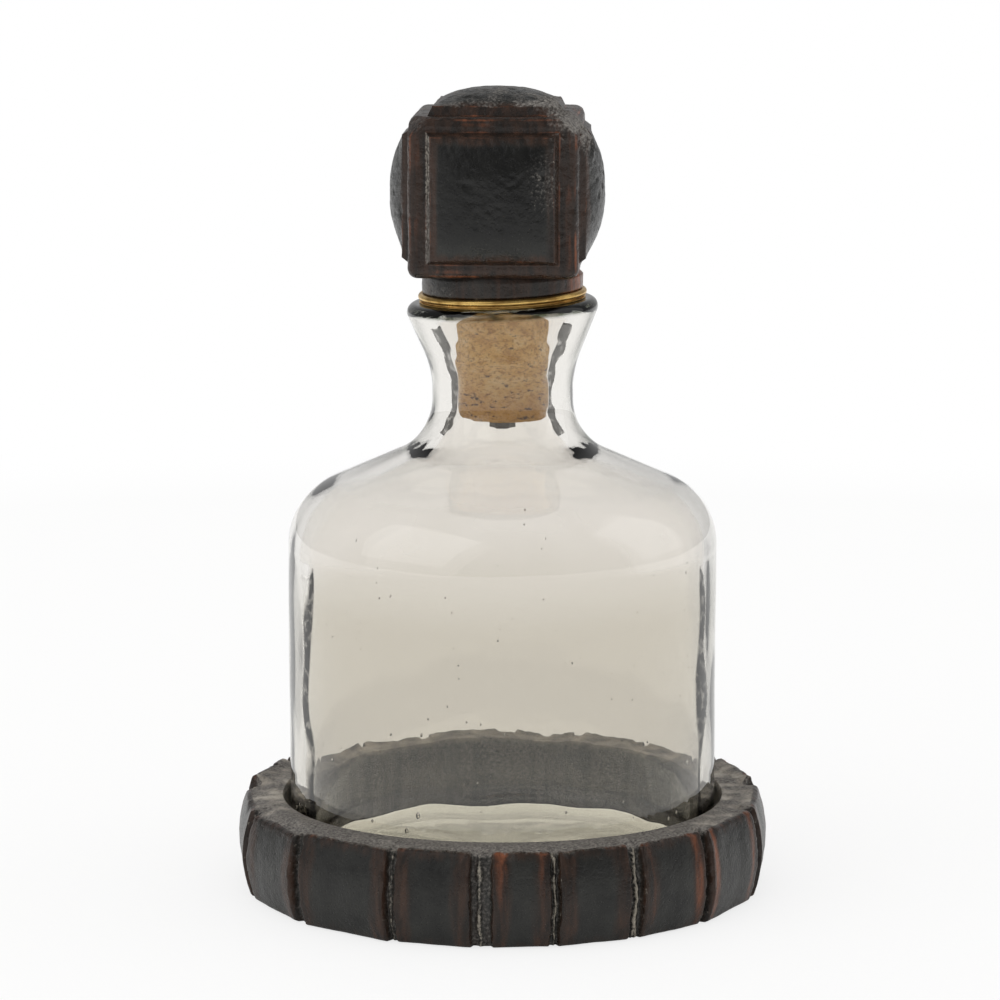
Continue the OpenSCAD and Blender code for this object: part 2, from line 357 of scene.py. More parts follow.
def makeRing():
    tiles = ringTiles()
    stations = ringStations(tiles)
    steps = len(stations)
    bore = ring["bore"]
    edge = ring["edge"]
    tall = ring["tileHeight"]
    face = [(edge, tall * mix(i, 0.5 - 0.5 * cos(pi * i), 0.5))
            for i in [j / ring["faceRows"] for j in range(ring["faceRows"] + 1)]]
    profile = linePoints((bore, 0), (edge, 0), ring["footRows"]) + face
    profile += linePoints((edge, tall), (bore, tall), ring["topRows"])
    profile += linePoints((bore, tall), (bore, 0), ring["boreRows"])[:-1]
    bm = bmesh.new()
    spinProfile(bm, profile, steps, closed=True)
    paint = paintLayers(bm)
    for v in bm.verts:
        turn = degrees(atan2(v.co.x, -v.co.y)) % 360
        station = stations[round(turn / 360 * steps) % steps]
        angle, k, inside, side = station[:4]
        across = clamp((sqrt(v.co.x ** 2 + v.co.y ** 2) - bore) / (edge - bore))
        up = clamp(v.co.z / tall)
        v.co, onTile, fromTop, chip, broken, ridge = ringPoint(station, tiles, across, up)
        x, y, z = v.co
        outside = ease(0.9, 1.0, across)
        onTop = ease(0.95, 1.0, up) * ease(1.0, 0.96, across)
        sides = mix(0.3, ease(8.5, 1.5, inside + 1.5 * grain(x, y, z * 0.2, 6.0, 1.8)), onTile)
        ends = max(ease(5.0, 0.5, fromTop), 0.6 * ease(5.0, 0.5, z))
        v[paint["margin"]] = outside * clamp(max(sides, 0.6 * ends * onTile))
        rust = tiles[k][3][side] * exp(-((inside - 3.0) / 2.2) ** 2) * onTile
        rust *= clamp(0.65 + 0.9 * grain(x, y, z * 0.15, 5.0, 2.7))
        v[paint["rub"]] = outside * clamp(rust + 0.35 * ease(1.2, 0.2, fromTop) * broken)
        # the bore is raw grey, painted paler still as painted light that lifts the shade inside the ring
        boreGreyAndLift = ease(0.02, 0.0, across) * clamp(0.5 + 0.5 * grain(x, y, z * 0.12, 4.0, 6.3))
        inGroove = (1 - onTile) * outside
        v[paint["raw"]] = clamp(onTop + boreGreyAndLift + 0.4 * ease(1.0, 0.0, fromTop) * outside + 0.35 * inGroove)
        depth = -cos(radians(angle))
        # the middle of each tile is given a darker tone
        v[paint["darkToneAndShade"]] = 0.25 * outside * ease(5.0, 10.0, inside)
        # the rim's top is made paler at the sides and most at the back
        paleTowardBack = 0.2 + 0.4 * (1 - abs(depth)) + 0.6 * ease(0.3, 0.8, depth)
        v[paint["pale"]] = onTop * paleTowardBack * clamp(0.75 + 0.6 * grain(x, y, 0, 5.0, 9.4))
        v[paint["wear"]] = outside * clamp(ridge * mix(0.7, 1.0, broken) + chip * 0.7 * ease(3.0, 0.0, fromTop)
                                           + 0.3 * broken * ease(0.7, 0.1, abs(inside - 0.2)))
    bmesh.ops.recalc_face_normals(bm, faces=bm.faces)
    return finishPiece("baseRingCasting", bm, castMetal, "base_ring", ["base_ring"])


makeRing()


# Knob: a cube with a pillow panel on each free face, and a collar under it, in one casting

knob = {
    "halfWidth": 27.5, "halfHeight": 26.0, "edgeRound": 3.2, "turn": -3.3, "faceCuts": 99, "aside": -1.6,
    "footAt": 0.80, "topAt": 0.70,            # where along a face the panel's wall starts and ends
    "panelFoot": 21.3, "panelTop": 19.8,
    # height of the panel's wall, of its dome and how square the dome is: sides, front and back, top
    "panels": [(2.2, 5.4, 2.3), (3.3, 4.4, 3.2), (3.0, 4.7, 2.8)],
    "bottom": 205.27, "collarRadius": 26.3, "collarHeight": 6.6, "collarChamfer": 1.0,
    "tilt": 0.036,                            # the brass disc and what touches it lean to the left
    "lump": (1.0, -0.6, 1.0), "lumpReach": 0.75,   # this corner was left rough in the casting
    # planes along which a corner and an edge were ground off: direction and distance
    "cuts": [((-0.62, -0.45, 0.64), 41.0), ((0.68, -0.1, 0.73), 34.6)],
}


def alongFace(t, half):
    size = abs(t)
    if size < knob["topAt"]:
        place = size / knob["topAt"] * knob["panelTop"]
    elif size < knob["footAt"]:
        wallShare = (size - knob["topAt"]) / (knob["footAt"] - knob["topAt"])
        place = mix(knob["panelTop"], knob["panelFoot"], wallShare)
    else:
        place = mix(knob["panelFoot"], half, (size - knob["footAt"]) / (1 - knob["footAt"]))
    return place if t >= 0 else -place


def knobPoint(co):
    # co is on a cube from -1 to 1; gives the place, the face's axis and the share of the wall
    half = Vector((knob["halfWidth"], knob["halfWidth"], knob["halfHeight"]))
    place = Vector([alongFace(co[i], half[i]) for i in range(3)])
    rounding = knob["edgeRound"]
    core = Vector([clamp(place[i], rounding - half[i], half[i] - rounding) for i in range(3)])
    out = place - core
    axis = max(range(3), key=lambda i: abs(co[i]))
    others = [i for i in range(3) if i != axis]
    if out.length > 1e-6:
        place = core + out.normalized() * rounding
    wall = min(clamp((knob["footAt"] - abs(co[i])) / (knob["footAt"] - knob["topAt"])) for i in others)
    if axis != 2 or co[2] > 0:
        a, b = [clamp(abs(place[i]) / knob["panelTop"]) for i in others]
        side, dome, power = knob["panels"][axis]
        rise = side * wall + dome * (1 - a ** power) * (1 - b ** power)
        place[axis] += rise if co[axis] > 0 else -rise
    return place, axis, others, wall


def makeKnob():
    bm = bmesh.new()
    bmesh.ops.create_cube(bm, size=2)
    bmesh.ops.subdivide_edges(bm, edges=bm.edges, cuts=knob["faceCuts"], use_grid_fill=True)
    paint = paintLayers(bm)
    lumpCorner = Vector(knob["lump"])
    for v in bm.verts:
        co = v.co.copy()
        place, axis, others, wall = knobPoint(co)
        x, y, z = place
        sign = 1 if co[axis] > 0 else -1
        normal = Vector([sign if i == axis else 0 for i in range(3)])
        lumpy = ease(knob["lumpReach"], 0.15, (co - lumpCorner).length)
        fold = clamp(1 - abs(grain(x + y, y, z, 4.5, 5.9)) * 3.0)
        cast = 0.2 * grain(x, y, z, 9.0, 1.7) + 0.12 * grain(x, y, z, 2.4, 3.3)
        cast -= 0.9 * max(0.0, grain(x, y, z, 2.8, 7.3) - 0.3) + 0.5 * max(0.0, grain(x, y, z, 1.5, 2.3) - 0.25)
        place += normal * cast + place.normalized() * lumpy * (1.9 * fold + 0.3 * grain(x, y, z, 1.8, 2.9))
        over = 0.0
        for way, cutAt in knob["cuts"]:
            way = Vector(way).normalized()
            beyond = place.dot(way) - lumpy * 2.2 - cutAt
            if beyond > 0:
                place -= way * beyond * 0.85
                over = max(over, beyond)
        inPanel = min(1 - abs(co[i]) / knob["topAt"] for i in others)
        front = 1.0 if axis == 1 and co.y < 0 else 0.0
        onCrown = 1.0 if axis == 2 and co.z > 0 and inPanel > 0 else 0.0
        # painted highlight: the front panel's left wall is painted raw grey with pale specks where the light
        # catches it
        leftWallHighlight = front if co.x < 0 and 0 < wall < 1 and abs(co.x) > abs(co.z) else 0.0
        # a pitted patch right of the front panel's middle: rougher, with pale specks that are painted glints
        pittedGlints = front * ease(0.35, 0.05, (Vector((co.x * 0.8, 0, co.z * 0.5)) - Vector((0.5, 0, 0.1))).length)
        v[paint["margin"]] = clamp(0.95 - 0.95 * ease(0.0, 0.2, inPanel))
        rough = lumpy * (0.6 + 0.5 * fold) + onCrown * (0.35 + 0.4 * grain(x, y, z, 5.0, 1.2))
        v[paint["raw"]] = clamp(rough + 0.6 * leftWallHighlight + 0.3 * pittedGlints + 0.3 * ease(0.0, 1.0, over))
        nextEdge = max(abs(co[i]) for i in others)
        lines = 0.7 * ease(0.03, 0.0, abs(inPanel)) + 0.8 * ease(0.03, 0.0, abs(nextEdge - knob["footAt"]))
        lines += 0.8 * ease(0.95, 0.99, nextEdge) + 0.5 * exp(-((nextEdge - 0.9) / 0.05) ** 2)
        broken = clamp(0.55 + 1.1 * grain(x, y, z, 8.0, 8.3))
        v[paint["rub"]] = clamp(lines * broken)
        v[paint["pale"]] = 0.0
        # painted shade: the panels are darkened, and the front's lower part is left lighter as a painted reflection
        # of the floor
        v[paint["darkToneAndShade"]] = ease(0.0, 0.25, inPanel) * (ease(-0.75, -0.2, co.z) if axis == 1 else 0.3)
        # real wear on the rough corner's folds, plus the painted glints of the left wall and the pitted patch
        wornAndGlints = 0.45 * leftWallHighlight * ease(-0.6, 0.2, co.z) + 0.25 * lumpy * fold
        v[paint["wear"]] = clamp(wornAndGlints + 0.25 * pittedGlints + 0.2 * lines * broken)
        v.co = place
    bmesh.ops.translate(bm, vec=(knob["aside"], 0, knob["bottom"] + knob["halfHeight"]), verts=bm.verts)
    addMesh(bm, makeCollar())
    bmesh.ops.rotate(bm, cent=(0, 0, 0), matrix=Matrix.Rotation(radians(knob["turn"]), 3, "Z"), verts=bm.verts)
    return finishPiece("knobCasting", bm, castMetal, "stopper", ["knob"])


def makeCollar():
    bm = bmesh.new()
    r = knob["collarRadius"]
    low = knob["bottom"] - knob["collarHeight"]
    cut = knob["collarChamfer"]
    profile = linePoints((0, low), (r - 0.8, low), 12) + arcPoints((r - 0.8, low + 0.8), 0.8, -90, 0, 4)
    profile += linePoints((r, low + 0.8), (r, knob["bottom"] - cut), 8)
    profile += [(r - cut, knob["bottom"]), (r - cut, knob["bottom"] + 1), (0, knob["bottom"] + 1)]
    spinProfile(bm, profile, 160)
    paint = paintLayers(bm)
    for v in bm.verts:
        x, y, z = v.co
        out = sqrt(x * x + y * y)
        if out > r - 2:
            push = 0.25 * grain(x, y, z, 6.0, 4.4) + 0.12 * grain(x, y, z, 2.0, 1.9)
            v.co.x += x / out * push
            v.co.y += y / out * push
        v[paint["margin"]] = 0.55 + 0.5 * grain(x, y, z, 12.0, 6.1) + 0.4 * ease(14.0, 22.0, x)
        v[paint["rub"]] = clamp(0.9 * ease(19.0, 25.0, x) + 0.3 * ease(1.2, 0.3, z - low))
        # painted highlight: the collar's left side is painted raw grey where the light catches it
        v[paint["raw"]] = 0.4 * ease(-10.0, -16.0, x) * clamp(0.5 + grain(x, y, z, 4.0, 3.2))
        v[paint["wear"]] = clamp(0.35 * ease(1.5, 0.3, z - low) * (0.5 + grain(x, y, z, 5, 3.7)))
        v.co.z += knob["tilt"] * x * ease(knob["bottom"], low, z)
    return bm


makeKnob()


# Bottle: hand blown soda glass, clear with a grey green cast, wavy inside and full of seeds

bottle = {
    "bodyRadius": 70.7, "bodyHeight": 115.0, "wall": 4.9, "base": 11.0,
    "heel": 12.0, "innerHeel": 6.0, "footHollow": 0.3, "footRadius": 50.0,
    "shoulder": 22.0, "innerShoulder": 22.0, "slope": 24.0,
    "neck": 23.2, "sweep": 19.0, "waist": 4.0, "flare": 30.0, "flareLean": 23.0,
    "lip": 31.3, "lipRound": 3.0, "mouthRound": 1.5,
    "bore": 15.3, "boreRound": 22.0,
    "outerWave": 0.28, "innerWave": 0.45, "innerAside": 0.6, "steps": 256,
    "seeds": 210, "seedSizes": [0.14, 0.18, 0.23, 0.3], "footSeeds": [0.2, 0.3, 0.45, 0.65],
    # the painted dark lines of a thick wall (painted shade): facing at which they start, and end on body and neck
    "lineFrom": 0.228, "bodyLineTo": 0.266, "neckLineTo": 0.315, "neckLineShare": 0.9,
    "clear": "#f1eeea", "lowTint": "#e2ded6", "lipShade": "#2e3524", "lineShade": "#14120b",
    "footTintAndLift": "#fdfae8", "edgeShade": "#3b3f33",
    "depthTint": "#d9e2cd", "depthDensity": 4.0,
}


def bottleLevels():
    b = bottle
    slope = radians(b["slope"])
    lean = radians(b["flareLean"])
    centre = (b["bodyRadius"] - b["shoulder"], b["bodyHeight"])
    reach = sin(slope) * centre[0] + cos(slope) * centre[1] + b["shoulder"]
    sweepX = b["neck"] + b["sweep"]
    sweepZ = (reach + b["sweep"] - sin(slope) * sweepX) / cos(slope)
    flareX = b["neck"] + b["flare"]
    flareZ = sweepZ + b["waist"]
    lipX = b["lip"] - b["lipRound"]
    lipZ = flareZ + (b["flare"] + b["lipRound"] - cos(lean) * (flareX - lipX)) / sin(lean)
    cornerX = b["bodyRadius"] - b["wall"] - b["innerShoulder"]
    cornerZ = (reach - b["wall"] - b["innerShoulder"] - sin(slope) * cornerX) / cos(slope)
    boreX = b["bore"] + b["boreRound"]
    boreZ = (reach - b["wall"] + b["boreRound"] - sin(slope) * boreX) / cos(slope)
    # the mouth's rounding touches the lip's top and the flared inner wall
    mouthZ = lipZ + b["lipRound"] - b["mouthRound"]
    flareR = flareX - b["bore"]
    up = (mouthZ + b["mouthRound"] * sin(lean) - flareZ - flareR * sin(lean)) / cos(lean)
    mouthX = flareX - flareR * cos(lean) + up * sin(lean) + b["mouthRound"] * cos(lean)
    return {"centre": centre, "sweep": (sweepX, sweepZ), "flare": (flareX, flareZ),
            "lip": (lipX, lipZ), "lipTop": lipZ + b["lipRound"], "mouth": (mouthX, mouthZ),
            "bore": (boreX, boreZ), "corner": (cornerX, cornerZ)}


levels = bottleLevels()


def bottleProfile():
    b = bottle
    slope = b["slope"]
    hollow = [(b["footRadius"] * t, b["footHollow"] * (1 - t * t)) for t in [i / 16 for i in range(17)]]
    outside = hollow + arcPoints((b["bodyRadius"] - b["heel"], b["heel"]), b["heel"], -90, 0, 16)
    outside += linePoints((b["bodyRadius"], b["heel"]), (b["bodyRadius"], b["bodyHeight"]), 26)
    outside += arcPoints(levels["centre"], b["shoulder"], 0, 90 - slope, 18)
    outside += arcPoints(levels["sweep"], b["sweep"], 270 - slope, 180, 18)
    outside += arcPoints(levels["flare"], b["flare"], 180, 180 - b["flareLean"], 12)
    outside += arcPoints(levels["lip"], b["lipRound"], -b["flareLean"], 90, 12)
    inside = arcPoints(levels["mouth"], b["mouthRound"], 90, 180 - b["flareLean"], 8)
    flareIn = arcPoints(levels["flare"], levels["flare"][0] - b["bore"], 180 - b["flareLean"], 180, 14)
    inside += linePoints(inside[-1], flareIn[0], 8) + flareIn
    inside += arcPoints(levels["bore"], b["boreRound"], 180, 270 - slope, 22)
    wallIn = b["bodyRadius"] - b["wall"]
    inside += arcPoints(levels["corner"], b["innerShoulder"], 90 - slope, 0, 20)
    inside += linePoints((wallIn, levels["corner"][1]), (wallIn, b["base"] + b["innerHeel"]), 24)
    inside += arcPoints((wallIn - b["innerHeel"], b["base"] + b["innerHeel"]), b["innerHeel"], 0, -90, 12)
    inside += linePoints((wallIn - b["innerHeel"], b["base"]), (0, b["base"]), 12)
    return tidyPoints(outside), tidyPoints(inside)


def glassMaterial():
    # hand blown soda glass: fire polished, so its surface is sharp, and slightly tinted all through
    b = bottle
    m, shader = newMaterial("soda glass, hand blown and fire polished")
    shader.inputs["Roughness"].default_value = 0.0
    shader.inputs["IOR"].default_value = 1.52
    # painted shade: where the inner wall is met close to its critical angle, its tint is darkened and made
    # metallic, as a dark upright line
    facing = addNode(m, "LayerWeight", {"Blend": 0.5}, "Facing")
    within = addNode(m, "NewGeometry", {}, "Backfacing")
    lineTo = addNode(m, "Attribute", {}, "Fac", attribute_name="lineTo")
    fadeFrom = addNode(m, "Math", {0: lineTo, 1: 0.009}, operation="SUBTRACT")
    starts = addNode(m, "MapRange", {"Value": facing, "From Min": b["lineFrom"],
                                     "From Max": b["lineFrom"] + 0.007}, interpolation_type="SMOOTHSTEP")
    ends = addNode(m, "MapRange", {"Value": facing, "From Min": fadeFrom, "From Max": lineTo, "To Min": 1.0,
                                   "To Max": 0.0}, interpolation_type="SMOOTHSTEP")
    line = addNode(m, "Math", {0: starts, 1: ends}, operation="MULTIPLY")
    line = addNode(m, "Math", {0: line, 1: within}, operation="MULTIPLY")
    place = addNode(m, "TexCoord", {}, "Object")
    mottle = addNode(m, "TexNoise", {"Vector": place, "Scale": 1 / (3.0 * mm), "Detail": 3.0})
    dark = addNode(m, "MapRange", {"Value": mottle, "From Min": 0.34, "From Max": 0.48, "To Min": 0.75})
    line = addNode(m, "Math", {0: line, 1: dark}, operation="MULTIPLY")
    onNeck = addNode(m, "MapRange", {"Value": lineTo, "From Min": 0.275, "From Max": 0.29,
                                     "To Min": 1.0, "To Max": b["neckLineShare"]})
    line = addNode(m, "Math", {0: line, 1: onNeck}, operation="MULTIPLY")
    linkTo(m, line, shader.inputs["Metallic"])
    shader.inputs["Transmission Weight"].default_value = 1.0
    low = addNode(m, "Attribute", {}, "Fac", attribute_name="low")
    lip = addNode(m, "Attribute", {}, "Fac", attribute_name="lip")
    foot = addNode(m, "Attribute", {}, "Fac", attribute_name="foot")
    edge = addNode(m, "Attribute", {}, "Fac", attribute_name="edge")
    # painted shade where the outer wall is met at a grazing angle
    grazing = addNode(m, "MapRange", {"Value": facing, "From Min": 0.5, "From Max": 0.8},
                      interpolation_type="SMOOTHSTEP")
    edge = addNode(m, "Math", {0: grazing, 1: edge}, operation="MULTIPLY")
    tint = linear(b["clear"])
    # the low tint darkens the body towards its bottom; the foot's tint is partly painted light, and the edge's, the
    # lip's and the line's are painted shade
    tints = ((low, "lowTint"), (foot, "footTintAndLift"), (edge, "edgeShade"), (lip, "lipShade"), (line, "lineShade"))
    for mask, tone in tints:
        tint = addNode(m, "Mix", {0: mask, 6: tint, 7: linear(b[tone])}, 2, data_type="RGBA")
    linkTo(m, tint, shader.inputs["Base Color"])
    volume = addNode(m, "VolumeAbsorption", {"Color": linear(b["depthTint"]), "Density": b["depthDensity"]})
    linkTo(m, volume, m.node_tree.nodes["Material Output"].inputs["Volume"])
    return m


def makeBottle():
    b = bottle
    outside, inside = bottleProfile()
    bm = bmesh.new()
    spinProfile(bm, outside + inside, b["steps"])
    lineTo = bm.verts.layers.float.new("lineTo")
    lip, foot, edge, low = [bm.verts.layers.float.new(name) for name in ("lip", "foot", "edge", "low")]
    innerKeys = {(round(r, 2), round(z, 2)) for r, z in inside}
    top = levels["lipTop"]
    for v in bm.verts:
        x, y, z = v.co
        out = sqrt(x * x + y * y)
        body = ease(0.0, 14.0, z) * ease(150.0, 125.0, z)
        neck = ease(128.0, 150.0, z) * ease(top - 1, top - 9, z)
        aside = 0.0
        if (round(out, 2), round(z, 2)) in innerKeys:
            # painted shade: how far by facing the dark line reaches, on the body and the neck
            onBody = b["bodyLineTo"] + 0.008 * grain(x * 0.2, y * 0.2, z, 15.0, 5.7)
            onBody -= 0.016 * ease(66.0, 48.0, z) + 0.011 * ease(90.0, 103.0, z)
            onBody -= 0.024 * ease(108.0, 115.0, z)
            onNeck = b["neckLineTo"] + 0.03 * grain(x, y, z, 3.5, 2.8)
            onNeck *= ease(148.6, 151.0, z) * ease(194.0, 190.0, z)
            v[lineTo] = max(onBody * ease(114.5, 112.0, z), onNeck)
            wave = grain(x, y, z * 0.35, 24.0, 2.4) + 0.25 * grain(x, y, z * 0.6, 10.0, 6.6)
            wave *= b["innerWave"] * body
            wave += 0.12 * neck * grain(x, y, z * 0.5, 3.4, 8.4)
            if z < b["base"] + 0.5:
                v.co.z += 0.14 * grain(x, y, 0, 9.0, 3.6) + 0.03 * grain(x, y, 0, 2.6, 1.4)
            aside = b["innerAside"] * body
        else:
            wave = b["outerWave"] * body * (grain(x, y, z * 0.5, 30.0, 7.1) + 0.3 * grain(x, y, z, 13.0, 1.1))
            wave += 0.3 * neck * grain(x, y, z, 14.0, 3.9)
            # painted shade: the lip is painted dark on the glass's green, for the shadowed gap under the disc seen
            # through it
            streaky = clamp(0.85 + 0.6 * grain(x, y, z * 2, 4.0, 5.1))
            v[lip] = ease(top - b["lipRound"] - 0.9, top - b["lipRound"] + 0.4, z) * streaky
            # painted shade: the outer wall's grazing edge is darkened on the neck and the body, more on the right
            onNeck = ease(134.0, 150.0, z) * clamp(0.75 + 0.9 * grain(x, y, z, 9.0, 6.9))
            v[edge] = max(onNeck, (0.15 + 0.3 * ease(-20.0, 40.0, x)) * ease(6.0, 20.0, z))
        # the foot is tinted cream and brighter than the body's glass: partly the thick glass's colour, partly
        # painted light
        v[foot] = ease(12.5, 9.0, z)
        v[low] = ease(116.0, 94.0, z)
        if out > 0.01:
            v.co.x += x / out * wave + aside * min(1, out / 20)
            v.co.y += y / out * wave
        v.co.z += knob["tilt"] * x * ease(top - 14, top - 2, z)
    addMesh(bm, makeSeeds())
    return finishPiece("blownBottle", bm, glassMaterial(), "bottle", ["bottle"])


def makeSeeds():
    # seeds are small air bubbles in the wall, so their faces point into the air
    b = bottle
    dice = random.Random(11)
    bm = bmesh.new()
    for i in range(b["seeds"]):
        angle = dice.uniform(0, 2 * pi)
        nearFoot = i % 3 == 0
        z = dice.uniform(14, 40) if nearFoot else dice.uniform(16, 118)
        out = b["bodyRadius"] - dice.uniform(1.4, 2.6)
        place = Matrix.Translation((out * cos(angle), out * sin(angle), z))
        stretch = Matrix.Diagonal((1, 1, dice.uniform(1, 1.8), 1))
        bmesh.ops.create_uvsphere(bm, u_segments=8, v_segments=6, matrix=place @ stretch,
                                  radius=dice.choice(b["footSeeds" if nearFoot else "seedSizes"]))
    bmesh.ops.reverse_faces(bm, faces=bm.faces)
    return bm


makeBottle()


# Cork: a natural cork, cut across the grain and sanded, with pits and a chipped foot

cork = {"topRadius": 15.5, "footRadius": 14.7, "length": 39.0, "chamfer": 0.8, "hole": 2.2}


def corkMaterial():
    # cork is dull and warm, with dark pits and fine bands where the rings were cut
    m, shader = newMaterial("natural cork, cut and sanded")
    place = addNode(m, "TexCoord", {}, "Object")
    noises = {}
    sizes = (("band", 6.0, 1.6, 6.0), ("fleck", 1.3, 1.5, 4.0), ("pit", 2.8, 1.8, 5.0))
    for name, size, drawn, detail in sizes:
        stretched = addNode(m, "Mapping", {"Vector": place, "Scale": (1, 1, drawn)})
        noises[name] = addNode(m, "TexNoise", {"Vector": stretched, "Scale": 1 / (size * mm),
                                               "Detail": detail, "Roughness": 0.65})
    colour = addNode(m, "ValToRGB", {"Fac": noises["band"]}, "Color",
                     stops=[(0.32, "#c5924b"), (0.5, "#edbf74"), (0.68, "#f8d79c")])
    height = addNode(m, "SeparateXYZ", {"Vector": place}, "Z")
    foot = addNode(m, "MapRange", {"Value": height, "From Min": 0.18, "From Max": 0.157, "To Max": 0.7},
                   interpolation_type="SMOOTHSTEP")
    speckle = addNode(m, "MapRange", {"Value": noises["fleck"], "From Min": 0.47, "From Max": 0.66, "To Max": 0.85},
                      interpolation_type="SMOOTHSTEP")
    deeper = addNode(m, "Math", {0: foot, 1: 0.07, 2: noises["pit"]}, operation="MULTIPLY_ADD")
    hollow = addNode(m, "MapRange", {"Value": deeper, "From Min": 0.61, "From Max": 0.7},
                     interpolation_type="SMOOTHSTEP")
    for mask, tone in ((foot, "#b98538"), (speckle, "#b07c38"), (hollow, "#573617")):
        colour = addNode(m, "Mix", {0: mask, 6: colour, 7: linear(tone)}, 2, data_type="RGBA")
    linkTo(m, colour, shader.inputs["Base Color"])
    shader.inputs["Roughness"].default_value = 0.85
    shader.inputs["Specular IOR Level"].default_value = 0.25
    relief = addNode(m, "Math", {0: noises["fleck"], 1: hollow}, operation="SUBTRACT")
    bump = addNode(m, "Bump", {"Height": relief, "Strength": 0.7, "Distance": 0.4 * mm})
    linkTo(m, bump, shader.inputs["Normal"])
    return m


def makeCork():
    c = cork
    top = levels["lipTop"]
    foot = top - c["length"]
    bm = bmesh.new()
    profile = linePoints((c["hole"], foot), (c["footRadius"] - c["chamfer"], foot), 12)
    profile += linePoints((c["footRadius"], foot + c["chamfer"]), (c["topRadius"], top), 60)
    profile += linePoints((c["topRadius"], top), (c["hole"], top), 6)
    profile += linePoints((c["hole"], top), (c["hole"], foot), 6)[:-1]
    spinProfile(bm, profile, 160, closed=True)
    for v in bm.verts:
        x, y, z = v.co
        out = sqrt(x * x + y * y)
        if out < c["hole"] + 1:
            continue
        inward = max(0.0, grain(x, y, z * 2, 2.6, 9.9) - 0.35) * 1.1
        inward += 0.5 * ease(3.0, 0.0, z - foot) * max(0.0, 0.3 + grain(x, y, z, 3.5, 4.8))
        inward += 0.9 * ease(5.0, 0.0, z - foot) * ease(-6.0, -13.0, x)
        v.co.x -= x / out * inward
        v.co.y -= y / out * inward
        if z < foot + 2:
            v.co.z += max(0.0, 0.5 * grain(x, y, 0, 3.0, 2.7)) + 0.5 * ease(-8.0, -14.0, x)
    return finishPiece("naturalCork", bm, corkMaterial(), "stopper", ["cork"])


makeCork()


# Brass disc: turned, with a thin rim, a groove and a rounded bead above it, dulled by handling

disc = {"radius": 27.6, "thickness": 3.1, "hole": 2.2, "rim": 0.5, "groove": 0.35, "grooveDepth": 0.9}


def brassMaterial():
    # turned brass keeps faint rings, and tarnish takes the shine off in patches
    m, shader = newMaterial("brass, turned and tarnished")
    place = addNode(m, "TexCoord", {}, "Object")
    tarnish = addNode(m, "TexNoise", {"Vector": place, "Scale": 1 / (6.0 * mm), "Detail": 5.0, "Roughness": 0.6})
    fine = addNode(m, "Mapping", {"Vector": place, "Scale": (1, 1, 8)})
    rings = addNode(m, "TexNoise", {"Vector": fine, "Scale": 1 / (3.0 * mm), "Detail": 3.0})
    colour = addNode(m, "ValToRGB", {"Fac": tarnish}, "Color", stops=[(0.35, "#ecc678"), (0.7, "#9a733a")])
    linkTo(m, colour, shader.inputs["Base Color"])
    shader.inputs["Metallic"].default_value = 1.0
    rough = addNode(m, "Math", {0: tarnish, 1: 0.25, 2: 0.18}, operation="MULTIPLY_ADD")
    linkTo(m, rough, shader.inputs["Roughness"])
    bump = addNode(m, "Bump", {"Height": rings, "Strength": 0.25, "Distance": 0.1 * mm})
    linkTo(m, bump, shader.inputs["Normal"])
    return m


def makeDisc():
    d = disc
    low = levels["lipTop"]
    beadLow = low + d["rim"] + d["groove"]
    bead = (low + d["thickness"] - beadLow) / 2
    edge = d["radius"] - bead
    bm = bmesh.new()
    profile = linePoints((d["hole"], low), (d["radius"] - 0.5, low), 12)
    profile += [(d["radius"] - 0.35, low + 0.15), (d["radius"] - 0.35, low + d["rim"] - 0.1),
                (d["radius"] - 0.5, low + d["rim"]), (edge - 0.2, low + d["rim"]), (edge - 0.2, beadLow)]
    profile += arcPoints((edge, beadLow + bead), bead, -90, 90, 14)
    profile += linePoints((edge, low + d["thickness"]), (d["hole"], low + d["thickness"]), 12)
    spinProfile(bm, profile, 208, closed=True)
    for v in bm.verts:
        x, y, z = v.co
        v.co.z += knob["tilt"] * x + 0.12 * grain(x, y, 0, 16.0, 5.2)
    return finishPiece("brassDisc", bm, brassMaterial(), "stopper", ["brass_disc"], angle=50)


makeDisc()


# Steel fastening under the cork: the stud, washer and nut keep their own shapes

def steelMaterial():
    # plain steel, darkened by damp: cut from bar, so it has a fine brushed grain
    m, shader = newMaterial("mild steel, machined and dulled")
    place = addNode(m, "TexCoord", {}, "Object")
    fine = addNode(m, "Mapping", {"Vector": place, "Scale": (1, 1, 6)})
    scratch = addNode(m, "TexNoise", {"Vector": fine, "Scale": 1 / (0.8 * mm), "Detail": 4.0, "Roughness": 0.6})
    colour = addNode(m, "ValToRGB", {"Fac": scratch}, "Color", stops=[(0.35, "#6e6a64"), (0.7, "#3f3a35")])
    linkTo(m, colour, shader.inputs["Base Color"])
    shader.inputs["Metallic"].default_value = 1.0
    rough = addNode(m, "Math", {0: scratch, 1: 0.3, 2: 0.3}, operation="MULTIPLY_ADD")
    linkTo(m, rough, shader.inputs["Roughness"])
    bump = addNode(m, "Bump", {"Height": scratch, "Strength": 0.3, "Distance": 0.1 * mm})
    linkTo(m, bump, shader.inputs["Normal"])
    return m


steel = steelMaterial()
for nodeName in ("stud", "washer", "nut"):
    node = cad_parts[nodeName]
    node.data.materials.clear()
    node.data.materials.append(steel)
print("steel set")


# Floor, light and world: white paper under soft light from all round

stage = {
    "floorDrop": 0.2, "whiteFrom": 0.45, "whiteTo": 0.9,
    "shadowFade": 0.75,      # how far the paper is seen as plain white over its shadow
    "throughGlass": 0.95,    # the same for paper seen through the glass
    "worldStrength": 0.9, "frontGloss": 0.22, "backGloss": 0.55,
}


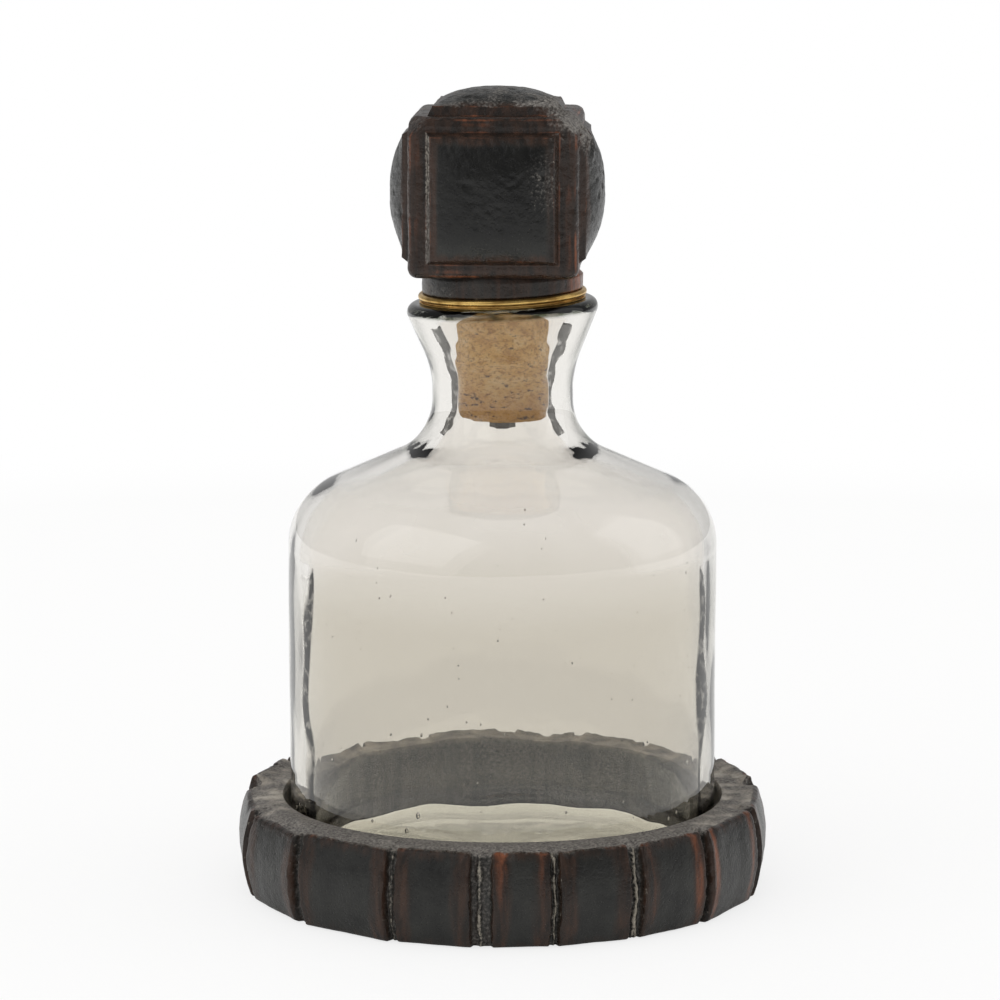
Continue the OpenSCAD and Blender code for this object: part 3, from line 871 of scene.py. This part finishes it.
def makeFloor():
    bm = bmesh.new()
    bmesh.ops.create_grid(bm, x_segments=1, y_segments=1, size=4.0)
    bmesh.ops.translate(bm, vec=(0, 0, -stage["floorDrop"] * mm), verts=bm.verts)
    mesh = bpy.data.meshes.new("paperFloor")
    bm.to_mesh(mesh)
    bm.free()
    floor = bpy.data.objects.new("paperFloor", mesh)
    bpy.context.scene.collection.objects.link(floor)
    m, shader = newMaterial("matt white paper")
    shader.inputs["Base Color"].default_value = linear("#f8f8f7")
    shader.inputs["Roughness"].default_value = 0.8
    shader.inputs["Specular IOR Level"].default_value = 0.1
    place = addNode(m, "TexCoord", {}, "Object")
    away = addNode(m, "VectorMath", {0: place}, "Value", operation="LENGTH")
    white = addNode(m, "MapRange", {"Value": away, "From Min": stage["whiteFrom"], "From Max": stage["whiteTo"]},
                    interpolation_type="SMOOTHSTEP")
    path = addNode(m, "LightPath", {}, "Is Camera Ray").node
    for ray, share in (("Is Camera Ray", stage["shadowFade"]), ("Is Transmission Ray", stage["throughGlass"])):
        shown = addNode(m, "Math", {0: path.outputs[ray], 1: share}, operation="MULTIPLY")
        white = addNode(m, "Math", {0: white, 1: shown}, operation="MAXIMUM")
    glow = addNode(m, "Emission", {"Color": (1, 1, 1, 1), "Strength": 1.0})
    both = addNode(m, "MixShader", {0: white, 1: shader.outputs[0], 2: glow})
    linkTo(m, both, m.node_tree.nodes["Material Output"].inputs["Surface"])
    mesh.materials.append(m)


def makeWorld():
    # white all round where it is seen, and dimmer in front, where it only shows in the metal's gloss
    world = bpy.data.worlds.new("studio")
    bpy.context.scene.world = world
    world.use_nodes = True
    path = addNode(world, "LightPath", {}, "Is Camera Ray").node
    seen = addNode(world, "Math", {0: path.outputs["Is Camera Ray"], 1: path.outputs["Is Transmission Ray"]},
                   operation="MAXIMUM")
    way = addNode(world, "TexCoord", {}, "Generated")
    depth = addNode(world, "SeparateXYZ", {"Vector": way}, "Y")
    gloss = addNode(world, "MapRange", {"Value": depth, "From Min": 0.6, "From Max": 1.0,
                                        "To Min": stage["frontGloss"], "To Max": stage["backGloss"]})
    strength = addNode(world, "Mix", {0: path.outputs["Is Glossy Ray"], 2: stage["worldStrength"], 3: gloss})
    strength = addNode(world, "Mix", {0: seen, 2: strength, 3: 1.0})
    back = world.node_tree.nodes["Background"]
    back.inputs["Color"].default_value = (1, 1, 1, 1)
    linkTo(world, strength, back.inputs["Strength"])


def addSoftbox(name, place, target, size, power):
    data = bpy.data.lights.new(name, "AREA")
    data.shape = "RECTANGLE"
    data.size = size[0]
    data.size_y = size[1]
    data.energy = power
    lamp = bpy.data.objects.new(name, data)
    bpy.context.scene.collection.objects.link(lamp)
    lamp.location = place
    aim = Vector(target) - Vector(place)
    lamp.rotation_euler = aim.to_track_quat("-Z", "Y").to_euler()


makeFloor()
makeWorld()
addSoftbox("leftSoftbox", (-1.5, -1.0, 1.5), (0, 0, 0.15), (2.2, 2.2), 10.0)
addSoftbox("rightSoftbox", (1.8, 0.2, 1.2), (0, 0, 0.15), (1.4, 2.0), 4.0)
print("light set")

bpy.context.scene.view_settings.view_transform = "Standard"
